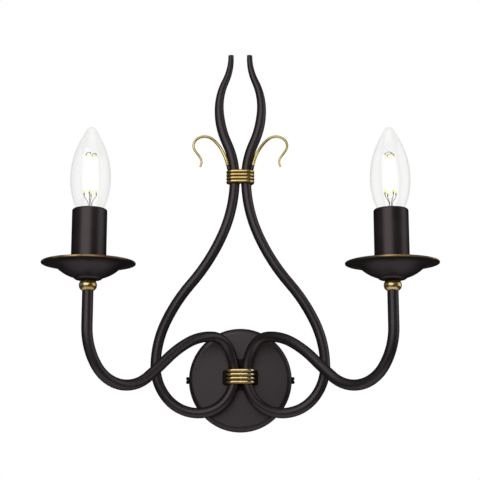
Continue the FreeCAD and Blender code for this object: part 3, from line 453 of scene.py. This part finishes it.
def add_floor():
    material, tree, output = new_material("floor_white")
    principled(tree, output, Base_Color=FLOOR_WHITE, Roughness=1.0, Specular_IOR_Level=0.0)
    mesh = bpy.data.meshes.new("floor")
    corners = ((-1, -1), (1, -1), (1, 1), (-1, 1))
    mesh.from_pydata([(x * FLOOR_HALF, y * FLOOR_HALF, FLOOR_Z) for x, y in corners], [], [(0, 1, 2, 3)])
    floor = bpy.data.objects.new("floor", mesh)
    bpy.context.scene.collection.objects.link(floor)
    floor.data.materials.append(material)


# ---------------------------------------------------------------- drawing helpers
STRAIGHT = 1e-6                 # an arc that turns less than this, in radians, is drawn straight
POLE_R = 1e-7                   # a smaller radius, in metres, makes a pole
ROD_ENDS = (0.0, 0.12, 0.4, 1.0)        # sections near a rod's end, in radii from it
ROD_TIP = 0.35                  # smallest radius of a rod's end, as a share of the rod's
SHARP_ANGLE = 40.0              # edges that bend more, in degrees, stay sharp


def direction(degrees):
    return Vector((math.cos(math.radians(degrees)), math.sin(math.radians(degrees))))


def clamped(value):
    return min(1.0, max(0.0, value))


def eased(share):
    """Goes from 0 to 1 with its share, and starts and ends level."""
    return share * share * (3 - 2 * share)


def arc_chain(points, heading, steps, offset=0.0):
    """Points along arcs through points (across, up), each starting in the last one's direction.

    heading is the first direction in degrees; offset moves the chain square to itself, to the left.
    """
    found = []
    for first, second in zip(points, points[1:]):
        across, up = second[0] - first[0], second[1] - first[1]
        chord = math.atan2(up, across)
        start = math.radians(heading)
        turn = 2 * ((chord - start + math.pi) % (2 * math.pi) - math.pi)
        length = math.hypot(across, up)
        for i in range(1 if found else 0, steps + 1):
            share = i / steps
            reach = length * share
            if abs(turn) > STRAIGHT:
                reach = length * math.sin(turn * share / 2) / math.sin(turn / 2)
            ahead = start + turn * share / 2
            normal = start + turn * share + math.pi / 2
            found.append((first[0] + reach * math.cos(ahead) + offset * math.cos(normal),
                          first[1] + reach * math.sin(ahead) + offset * math.sin(normal)))
        heading = math.degrees(start + turn)
    return found


def biarc_path(stations, steps):
    """Smooth points through stations (across, up, heading in degrees), two arcs to each pair."""
    found = []
    for (x0, z0, a0), (x1, z1, a1) in zip(stations, stations[1:]):
        start, end = Vector((x0, z0)), Vector((x1, z1))
        leave, arrive = direction(a0), direction(a1)
        between, both = end - start, leave + arrive
        bend = 2 * (1 - leave.dot(arrive))
        leg = (math.sqrt(between.dot(both) ** 2 + bend * between.dot(between)) - between.dot(both)) / bend
        joint = (start + leave * leg + end - arrive * leg) / 2
        found += arc_chain([start, joint, end], a0, steps)[1 if found else 0:]
    return found


def lathe(profile, centre, steps, ripple=None):
    """Points and faces of a profile (radius, height) in metres spun about an upright axis.

    A radius of 0 makes a pole. ripple(radius, height, angle) gives the radius of a surface that isn't round.
    """
    points, faces, rows = [], [], []
    for radius, height in profile:
        if radius < POLE_R:
            rows.append([len(points)] * steps)
            points.append(Vector((centre[0], centre[1], height)))
            continue
        rows.append([len(points) + i for i in range(steps)])
        for i in range(steps):
            angle = 2 * math.pi * i / steps
            out = ripple(radius, height, angle) if ripple else radius
            x = centre[0] + out * math.cos(angle)
            y = centre[1] + out * math.sin(angle)
            points.append(Vector((x, y, height)))
    for low, high in zip(rows, rows[1:]):
        for i in range(steps):
            j = (i + 1) % steps
            corners = []
            for corner in (low[i], low[j], high[j], high[i]):
                if corner not in corners:
                    corners.append(corner)
            if len(corners) > 2:
                faces.append(corners)
    return points, faces


def tube(places, radii, sides, outward=None, flatness=1.0):
    """Points and faces of a closed rod along places.

    outward holds the direction of its section's first axis at each place; flatness is the share of the
    radius that the section has along that axis.
    """
    points, faces, rows = [], [], []
    side = None
    for i, (place, radius) in enumerate(zip(places, radii)):
        ahead = (places[min(i + 1, len(places) - 1)] - places[max(i - 1, 0)]).normalized()
        if outward:
            side = outward[i]
        elif side is None:
            side = ahead.orthogonal()
        side = (side - ahead * side.dot(ahead)).normalized()
        other = ahead.cross(side)
        rows.append([len(points) + k for k in range(sides)])
        for k in range(sides):
            angle = 2 * math.pi * k / sides
            points.append(place + (side * math.cos(angle) * flatness + other * math.sin(angle)) * radius)
    for low, high in zip(rows, rows[1:]):
        for k in range(sides):
            j = (k + 1) % sides
            faces.append([low[k], low[j], high[j], high[k]])
    faces.append(rows[0][::-1])
    faces.append(rows[-1])
    return points, faces


def wire(places, radius, sides):
    return tube(places, [radius] * len(places), sides)


def rounded_rod(start, end, radius, sides, steps):
    """Straight rod whose ends are drawn in. Also tells how close each point is to an end, in metres."""
    reach = (end - start).length
    along = [share * radius for share in ROD_ENDS]
    along += [radius + (reach - 2 * radius) * i / steps for i in range(1, steps)]
    along += [reach - share * radius for share in ROD_ENDS[::-1]]
    places = [start + (end - start) * (a / reach) for a in along]
    radii = []
    for a in along:
        inset = max(0.0, 1.0 - min(a, reach - a) / radius)
        radii.append(radius * max(ROD_TIP, math.sqrt(1.0 - inset * inset)))
    points, faces = tube(places, radii, sides)
    near = [min(a, reach - a) for a in along for _ in range(sides)]
    return points, faces, near


def joined(pieces):
    """One list of points and faces from several."""
    points, faces = [], []
    for more_points, more_faces in pieces:
        start = len(points)
        points += more_points
        faces += [[start + corner for corner in face] for face in more_faces]
    return points, faces


def make_piece(name, shape, look, body, replaces=(), mark=None):
    """Mesh that rides on a body and may stand for CAD nodes. worn is one number per point."""
    points, faces = shape
    mesh = bpy.data.meshes.new(name)
    mesh.from_pydata([tuple(p) for p in points], [], faces)
    if mark is not None:
        attribute = mesh.attributes.new(MARK, "FLOAT", "POINT")
        attribute.data.foreach_set("value", mark)
    mesh.shade_smooth()
    mesh.set_sharp_from_angle(angle=math.radians(SHARP_ANGLE))
    mesh.materials.append(MATERIALS[look])
    piece = bpy.data.objects.new(name, mesh)
    bpy.context.scene.collection.objects.link(piece)
    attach(piece, body)
    if replaces:
        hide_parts(*replaces)


def stem_axis(side):
    low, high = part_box(side + "_candle_sleeve")
    return (low.x + high.x) / 2, (low.y + high.y) / 2


def spun(profile, foot, side, steps, ripple=None):
    """Profile in millimetres above foot, spun about a candle's axis."""
    return lathe([(r * MM, foot + z * MM) for r, z in profile], stem_axis(side), steps, ripple)


# ---------------------------------------------------------------- drip pans and beads
PAN_FOOT = ((10.0, 0.0), (12.9, 1.9))                       # underside: radius and height
PAN_FOOT_STEPS = 5
PAN_BOWL = ((12.9, 1.9), (27.5, 10.0), (34.0, 13.4))
PAN_BOWL_SLOPE = 15.0           # degrees, at its lower end
PAN_BOWL_STEPS = 9
PAN_WALL = 1.0
PAN_RIM = (40.9, 14.9)          # middle of the rolled edge
PAN_ROLL_R = 0.9
PAN_ROLL_STEPS = 12
PAN_ROLL_OPEN = 146.0           # degrees from the outermost point to where the sheet runs into the roll
PAN_STEPS = 144
PAN_WORN_FROM = 41.3            # radius at which the paint starts to be rubbed through
PAN_WORN_WIDTH = 0.4            # and how far it takes to be bare


def pan_profile():
    under = arc_chain(PAN_FOOT, 0.0, PAN_FOOT_STEPS)[:-1]
    under += arc_chain(PAN_BOWL, PAN_BOWL_SLOPE, PAN_BOWL_STEPS)
    top = arc_chain(PAN_BOWL, PAN_BOWL_SLOPE, PAN_BOWL_STEPS, PAN_WALL)
    roll = []
    for i in range(PAN_ROLL_STEPS + 1):
        around = direction(PAN_ROLL_OPEN * (2 * i / PAN_ROLL_STEPS - 1)) * PAN_ROLL_R
        roll.append((PAN_RIM[0] + around.x, PAN_RIM[1] + around.y))
    return [(0.0, 0.0)] + under + roll + top[::-1] + [(PAN_FOOT[0][0], PAN_WALL), (0.0, PAN_WALL)]


def make_pans():
    for side in SIDES:
        node = side + "_drip_pan"
        x, y = stem_axis(side)
        shape = spun(pan_profile(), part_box(node)[0].z, side, PAN_STEPS)
        radii = [math.hypot(point.x - x, point.y - y) / MM for point in shape[0]]
        mark = [clamped((radius - PAN_WORN_FROM) / PAN_WORN_WIDTH) for radius in radii]
        make_piece(node + "_spun", shape, "rim_paint", "sconce", [node], mark)


BEAD_FLAT_R = 5.3               # of the flats at its two ends
BEAD_ROWS = 16
BEAD_STEPS = 64


def make_beads():
    for side in SIDES:
        node = side + "_bead"
        low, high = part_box(node)
        half, widest = (high.z - low.z) / 2, (high.x - low.x) / 2
        rise = widest - BEAD_FLAT_R * MM
        radius = (half * half + rise * rise) / (2 * rise)
        reach = math.asin(half / radius)
        profile = [(0.0, low.z)]
        for i in range(BEAD_ROWS + 1):
            angle = reach * (2 * i / BEAD_ROWS - 1)
            out = widest - radius + radius * math.cos(angle)
            profile.append((out, low.z + half + radius * math.sin(angle)))
        profile.append((0.0, high.z))
        shape = lathe(profile, stem_axis(side), BEAD_STEPS)
        make_piece(node + "_turned", shape, "bead_brass", "sconce", [node])


# ---------------------------------------------------------------- curls
CURL_ROOT_R = 1.6
CURL_TIP_R = 1.0
CURL_SIDES = 24
CURL_ARC_STEPS = 8
CURL_PATH = (                   # distance from the middle, height above the upper binding, heading in degrees
    (12.6, 12.0, 80.0), (19.7, 29.6, 58.0), (35.6, 41.4, 0.0), (46.4, 32.0, -90.0), (42.6, 23.8, -127.0),
    (38.4, 15.3, -90.0), (39.7, 10.6, -68.0),
)
WELD = (                        # painted weld at a curl's root: distance, height and radius, from its top
    (12.5, 13.2, 0.9), (12.3, 12.2, 1.5), (11.8, 10.2, 1.9), (11.2, 8.3, 1.9), (10.9, 7.2, 1.4),
)
WELD_Y = 0.5                    # how far it lies behind the curl's middle
WELD_SIDES = 20


def make_curls():
    low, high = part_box("upper_wire_binding")
    base = (low.z + high.z) / 2
    for side, sign in zip(SIDES, (-1.0, 1.0)):
        node = side + "_curl"
        low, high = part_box(node)
        middle = (low.y + high.y) / 2
        path = biarc_path(CURL_PATH, CURL_ARC_STEPS)
        places = [Vector((sign * x * MM, middle, base + z * MM)) for x, z in path]
        lengths = [0.0]
        for first, second in zip(places, places[1:]):
            lengths.append(lengths[-1] + (second - first).length)
        radii = [(CURL_ROOT_R + (CURL_TIP_R - CURL_ROOT_R) * a / lengths[-1]) * MM for a in lengths]
        shape = tube(places, radii, CURL_SIDES)
        make_piece(node + "_drawn", shape, "curl_brass", "sconce", [node])
        lump = [Vector((sign * x * MM, middle + WELD_Y * MM, base + z * MM)) for x, z, _ in WELD]
        shape = tube(lump, [r * MM for _, _, r in WELD], WELD_SIDES)
        make_piece(side + "_curl_weld", shape, "dark_paint", "sconce")


# ---------------------------------------------------------------- wire bindings
WIRE_TURNS = 4
WIRE_D = 3.2                    # diameter in the solids
WIRE_SHOWN_R = 1.64             # half its width here, measured along the tubes
WIRE_FLATNESS = 0.80            # the wire is a little flattened, having been drawn tight
WIRE_SIDES = 20
BINDINGS = (                    # node, pitch, how far the turns lie above the node's middle, material
    ("lower_wire_binding", 3.68, 0.0, "washed_brass"),
    ("upper_wire_binding", 3.32, 0.8, "aged_brass"),
)
HOLLOW_SHADE_FROM = 0.35              # how far up or down the wire's section, in radii, the painted shade where the turns meet starts
HOLLOW_SHADE_WIDTH = 0.50             # and how far it takes to be full
ARC_STEPS = 24                  # to a half turn round one tube
STRAIGHT_STEPS = 4              # from one tube to the other


def binding_wire(low, high, pitch, rise):
    """Middles of the wire and its outward directions, from behind the right-hand tube.

    It is level in front and climbs behind.
    """
    middle = (low + high) / 2
    half_x, half_y = (high.x - low.x) / 2, (high.y - low.y) / 2
    radius = half_y - (WIRE_D - WIRE_SHOWN_R * WIRE_FLATNESS) * MM
    reach = half_x - half_y
    ring = []
    for sign, start in ((1, 90.0), (-1, -90.0)):
        for i in range(ARC_STEPS + 1):
            out = direction(start - 180.0 * i / ARC_STEPS)
            ring.append((Vector((sign * reach + radius * out.x, radius * out.y, 0.0)), out.to_3d()))
        for i in range(1, STRAIGHT_STEPS):
            across = sign * reach * (1 - 2 * i / STRAIGHT_STEPS)
            ring.append((Vector((across, -sign * radius, 0.0)), Vector((0.0, -sign, 0.0))))
    places, outward = [], []
    for i in range(len(ring) * WIRE_TURNS + 1):
        along = (i - ARC_STEPS // 2) / len(ring)
        turn = math.floor(along)
        climb = turn + eased(max(0.0, 2 * (along - turn) - 1))
        height = rise + (climb - (WIRE_TURNS - 1) / 2) * pitch
        place, out = ring[i % len(ring)]
        places.append(middle + place + Vector((0.0, 0.0, height * MM)))
        outward.append(out)
    return places, outward


def make_bindings():
    around = [abs(math.sin(2 * math.pi * k / WIRE_SIDES)) for k in range(WIRE_SIDES)]
    # painted shade: each wire is browned on its upper and lower flanks, where the turns meet
    hollow_shade = [clamped((a - HOLLOW_SHADE_FROM) / HOLLOW_SHADE_WIDTH) for a in around]
    for node, pitch, rise, look in BINDINGS:
        low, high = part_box(node)
        places, outward = binding_wire(low, high, pitch, rise)
        shape = tube(places, [WIRE_SHOWN_R * MM] * len(places), WIRE_SIDES, outward, WIRE_FLATNESS)
        make_piece(node + "_wound", shape, look, "sconce", [node], hollow_shade * len(places))


# ---------------------------------------------------------------- bulb glasses
GLASS_WALL = 0.8
GLASS_OUTLINE = ((7.9, 0.0), (13.35, 10.4), (18.05, 31.3), (9.4, 71.3), (4.6, 80.6), (0.0, 83.1))
GLASS_SLOPE = 57.0              # degrees, at its foot
GLASS_ARC_STEPS = 10
GLASS_STEPS = 96


def make_glass():
    outside = arc_chain(GLASS_OUTLINE, GLASS_SLOPE, GLASS_ARC_STEPS)
    inside = arc_chain(GLASS_OUTLINE, GLASS_SLOPE, GLASS_ARC_STEPS, GLASS_WALL)
    outside[-1] = (0.0, outside[-1][1])
    inside[-1] = (0.0, inside[-1][1])
    inside[0] = (inside[0][0], 0.0)
    for side in SIDES:
        node = side + "_bulb_glass"
        shape = spun(inside[::-1] + outside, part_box(node)[0].z, side, GLASS_STEPS)
        make_piece(node + "_blown", shape, "clear_glass", side + "_bulb", [node])


# ---------------------------------------------------------------- bulb caps
CAP_R = 6.9                     # over the thread
CAP_EDGE_R = 0.6                # how far its lower edge is drawn in, and over which height
CAP_EDGE_H = 0.4
CAP_CORE_H = 18.4               # height of the screw part
CAP_FLARE_H = 2.0
CAP_COLLAR_R = 8.2
CAP_WALL = 0.5
CAP_BEVEL_R = 0.2               # how far the collar's lower edge is drawn in
CAP_BEVEL_BELOW = 0.1           # from this far below the flare's top
CAP_BEVEL_ABOVE = 0.3           # to this far above it
CAP_STEPS = 72
THREAD_PITCH = 2.8
THREAD_DEPTH = 0.75
THREAD_FOOT = 0.6               # height at which it starts
THREAD_RUN_OUT = 1.6            # the thread fades in and out over this height
THREAD_ROWS = 60
THREAD_SLACK = 0.01             # a radius that is smaller than CAP_R by more than this has no thread


def cap_profile(top):
    rows = [(CAP_R, CAP_EDGE_H + (CAP_CORE_H - CAP_EDGE_H) * i / THREAD_ROWS) for i in range(THREAD_ROWS + 1)]
    flare, inner = CAP_CORE_H + CAP_FLARE_H, CAP_COLLAR_R - CAP_WALL
    collar = [(CAP_COLLAR_R - CAP_BEVEL_R, flare - CAP_BEVEL_BELOW), (CAP_COLLAR_R, flare + CAP_BEVEL_ABOVE),
              (CAP_COLLAR_R, top), (inner, top), (inner, flare), (0.0, flare)]
    return [(0.0, 0.0), (CAP_R - CAP_EDGE_R, 0.0)] + rows + collar


def make_caps():
    for side in SIDES:
        node = side + "_bulb_cap"
        low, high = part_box(node)
        foot = low.z

        def threaded(radius, height, angle):
            up = (height - foot) / MM
            if radius < (CAP_R - THREAD_SLACK) * MM or up > CAP_CORE_H:
                return radius
            ends = clamped(min(up - THREAD_FOOT, CAP_CORE_H - up) / THREAD_RUN_OUT)
            wave = 0.5 - 0.5 * math.cos(2 * math.pi * up / THREAD_PITCH - angle)
            return radius - THREAD_DEPTH * MM * wave * ends

        shape = spun(cap_profile((high.z - foot) / MM), foot, side, CAP_STEPS, threaded)
        make_piece(node + "_threaded", shape, "cap_metal", side + "_bulb", [node])


# ---------------------------------------------------------------- filaments, their wires and mounts
FILAMENT_COUNT = 4
FILAMENT_R = 0.9
FILAMENT_FOOT_R = 5.4           # circles of the lower and upper ends
FILAMENT_HEAD_R = 4.4
FILAMENT_TURN = {"left": 0.0, "right": 20.0}    # how far each bulb is screwed round, in degrees
FILAMENT_WARM = 5.0             # length over which an end shades from white to yellow-green
FILAMENT_SIDES = 16
FILAMENT_STEPS = 24
FERRULE_R = 0.6                 # metal ends of the filaments
FERRULE_FOOT = 2.0              # how far they stick out below and above
FERRULE_HEAD = 1.2
FERRULE_LAP = 0.4               # and how far they reach in
FERRULE_SIDES = 12
FERRULE_STEPS = 3
MOUNT_WIRE_R = 1.5              # circle of the wires in the mount
MOUNT_WIRE_H = 12.5             # height in the mount up to which they are straight
WIRE_R = 0.28
THIN_SIDES = 8
BEND_STEPS = 8
LOOP_FOOT = 1.0                 # the wires that join two filaments start this high above them
LOOP_RISE = 1.0                 # and rise by this
LOOP_STEPS = 12


def filament_ends(side):
    """Lower and upper end of each filament, and its direction from the bulb's axis."""
    low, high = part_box(side + "_bulb_filaments")
    x, y = stem_axis(side)
    ends = []
    for i in range(FILAMENT_COUNT):
        out = direction(360 * i / FILAMENT_COUNT + FILAMENT_TURN[side])
        foot = Vector((x + out.x * FILAMENT_FOOT_R * MM, y + out.y * FILAMENT_FOOT_R * MM, low.z))
        head = Vector((x + out.x * FILAMENT_HEAD_R * MM, y + out.y * FILAMENT_HEAD_R * MM, high.z))
        ends.append((foot, head, Vector((out.x, out.y, 0.0))))
    return ends


def make_filaments():
    for side in SIDES:
        node = side + "_bulb_filaments"
        shapes, mark = [], []
        for foot, head, _ in filament_ends(side):
            points, faces, near = rounded_rod(foot, head, FILAMENT_R * MM, FILAMENT_SIDES, FILAMENT_STEPS)
            shapes.append((points, faces))
            mark += [max(0.0, 1.0 - n / (FILAMENT_WARM * MM)) for n in near]
        make_piece(node + "_lit", joined(shapes), "filament_glow", side + "_bulb",
                   [node], mark)


def ferrule(start, end):
    return rounded_rod(start, end, FERRULE_R * MM, FERRULE_SIDES, FERRULE_STEPS)[:2]


def mount_wire(start, end):
    """Wire that rises straight out of the mount and then bends over to end."""
    bend = start + Vector((0, 0, MOUNT_WIRE_H * MM))
    path = [start, bend]
    for i in range(1, BEND_STEPS + 1):
        share = i / BEND_STEPS
        place = bend.lerp(end, eased(share))
        place.z = bend.z + (end.z - bend.z) * share
        path.append(place)
    return wire(path, WIRE_R * MM, THIN_SIDES)


def loop_wire(first, second):
    """Low arch from one filament's head to another's."""
    path = []
    for i in range(LOOP_STEPS + 1):
        share = i / LOOP_STEPS
        lift = (LOOP_FOOT + LOOP_RISE * math.sin(math.pi * share)) * MM
        path.append(first.lerp(second, share) + Vector((0, 0, lift)))
    return wire(path, WIRE_R * MM, THIN_SIDES)


def make_bulb_wires():
    """Metal ends of the filaments, the wires that rise out of the mount, and the loops at the top."""
    for side in SIDES:
        x, y = stem_axis(side)
        foot_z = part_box(side + "_bulb_mount")[0].z
        ends = filament_ends(side)
        shapes = []
        for foot, head, out in ends:
            ahead = (head - foot).normalized()
            low_tip = foot - ahead * FERRULE_FOOT * MM
            shapes.append(ferrule(low_tip, foot + ahead * FERRULE_LAP * MM))
            shapes.append(ferrule(head - ahead * FERRULE_LAP * MM, head + ahead * FERRULE_HEAD * MM))
            shapes.append(mount_wire(Vector((x, y, foot_z)) + out * MOUNT_WIRE_R * MM, low_tip))
        for i in range(0, FILAMENT_COUNT, 2):
            shapes.append(loop_wire(ends[i][1], ends[i + 1][1]))
        make_piece(side + "_bulb_wires", joined(shapes), "wire_metal", side + "_bulb")


MOUNT_OUTLINE = ((6.8, 0.2), (4.6, 2.6), (3.1, 6.0), (2.7, 12.0), (2.9, 15.4), (2.3, 16.8))
MOUNT_STEPS = 40


def make_mounts():
    """Glass foot that carries the wires: a flare, a narrow stem and a pressed top."""
    profile = [(0.0, MOUNT_OUTLINE[0][1]), *MOUNT_OUTLINE, (0.0, MOUNT_OUTLINE[-1][1])]
    for side in SIDES:
        node = side + "_bulb_mount"
        shape = spun(profile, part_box(node)[0].z, side, MOUNT_STEPS)
        make_piece(node + "_pressed", shape, "clear_glass", side + "_bulb", [node])


add_camera()
add_world()
add_lamps()
add_floor()
dress_nodes()
make_pans()
make_beads()
make_curls()
make_bindings()
make_glass()
make_caps()
make_filaments()
make_bulb_wires()
make_mounts()

bpy.context.scene.view_settings.view_transform = "Standard"
